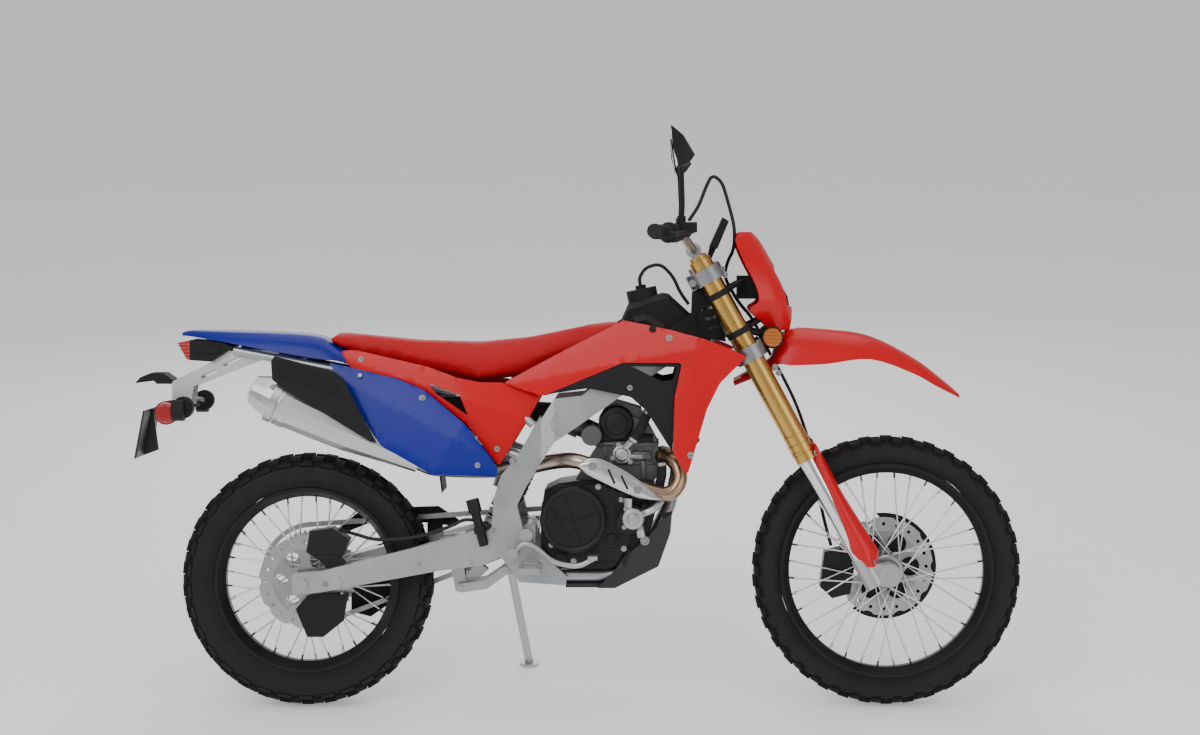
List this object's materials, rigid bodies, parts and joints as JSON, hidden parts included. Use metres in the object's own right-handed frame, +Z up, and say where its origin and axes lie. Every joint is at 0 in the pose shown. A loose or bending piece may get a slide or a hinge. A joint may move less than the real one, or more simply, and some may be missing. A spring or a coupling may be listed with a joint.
{
  "type": "dual sport motorcycle",
  "caption": "Light dual sport motorcycle with long-travel fork, spoked wheels, flat seat, high silencer and side stand, parked leaning on the stand.",
  "frame": {"origin": "bottom centre of the bounding box of the parked motorcycle, on the floor", "axes": "+X forward, +Y to the rider's left, +Z up; the motorcycle leans 10 degrees towards +Y"},
  "size_m": [2.31, 0.8222, 1.5396],
  "materials": {
    "tyre": "worn matt rubber",
    "black_metal": "satin black",
    "bare_aluminium": "satin cast",
    "silver_paint": "satin silver",
    "gold_anodised": "gold anodised",
    "chrome": "polished",
    "steel": "brushed",
    "header_steel": "heat-tinted",
    "red_plastic": "gloss",
    "blue_plastic": "gloss",
    "black_plastic": "matt",
    "grey_plastic": "matt",
    "seat_cover": "matt grained",
    "black_rubber": "matt",
    "red_lens": "clear tinted",
    "amber_lens": "clear tinted",
    "black_lacquer": "satin black, cast"
  },
  "bodies": {
    "chassis": {"airbox": "black_plastic", "chain": "steel", "crankcase": "black_lacquer", "cylinder": "bare_aluminium", "engine_covers": "black_lacquer", "exhaust_pipe": "header_steel", "footpegs": "steel", "fuel_cap": "black_plastic", "fuel_tank": "black_plastic", "lamp_housings": "black_plastic", "main_frame": "silver_paint", "muffler": "steel", "muffler_guard": "black_plastic", "number_panels": "blue_plastic", "pedals": "bare_aluminium", "pipe_shield": "steel", "plate_carrier": "bare_aluminium", "radiators": "bare_aluminium", "rear_axle": "steel", "rear_brake": "black_metal", "rear_fender": "blue_plastic", "rear_lenses": "red_lens", "rear_shock": "bare_aluminium", "rear_signals": "black_plastic", "seat": "seat_cover", "shock_linkage": "bare_aluminium", "shroud_inserts": "black_plastic", "side_cowls": "red_plastic", "skid_plate": "grey_plastic", "subframe": "silver_paint", "swingarm": "bare_aluminium", "swingarm_guards": "black_plastic", "tank_shrouds": "red_plastic", "wheel_liner": "black_plastic"},
    "steering": {"triple_clamps": "bare_aluminium", "fork_outer_tubes": "gold_anodised", "fork_inner_tubes": "chrome", "fork_lugs": "bare_aluminium", "front_axle": "steel", "fork_guards": "red_plastic", "front_fender": "red_plastic", "headlight_mask": "red_plastic", "headlight": "black_plastic", "front_signals": "amber_lens", "handlebar": "bare_aluminium", "grips": "black_rubber", "bar_controls": "black_plastic", "mirrors": "black_plastic", "front_caliper": "black_metal", "front_disc_guard": "black_plastic", "front_brake_hose": "black_rubber"},
    "front_wheel": {"front_tyre": "tyre", "front_wheel_rim": "black_metal", "front_disc": "steel"},
    "rear_wheel": {"rear_tyre": "tyre", "rear_wheel_rim": "black_metal", "rear_disc": "steel", "rear_sprocket": "steel"},
    "side_stand": {"side_stand": "bare_aluminium"}
  },
  "joints": [
    {"name": "steering", "type": "hinge", "parent": "chassis", "child": "steering", "pos_m": [0.92, -0.21928, 0.00243], "axis": [-0.4772, 0.1526, 0.8655], "range_deg": [-40, 40]},
    {"name": "front_wheel", "type": "hinge", "parent": "steering", "child": "front_wheel", "pos_m": [0.804, -0.15833, 0.3481], "axis": [0, 0.9848, -0.1736], "continuous": true},
    {"name": "rear_wheel", "type": "hinge", "parent": "chassis", "child": "rear_wheel", "pos_m": [-0.706, -0.16233, 0.32545], "axis": [0, 0.9848, -0.1736], "continuous": true},
    {"name": "side_stand", "type": "hinge", "parent": "chassis", "child": "side_stand", "pos_m": [-0.206, 0.00531, 0.35478], "axis": [0, 0.9997, -0.026], "range_deg": [0, 115]}
  ]
}
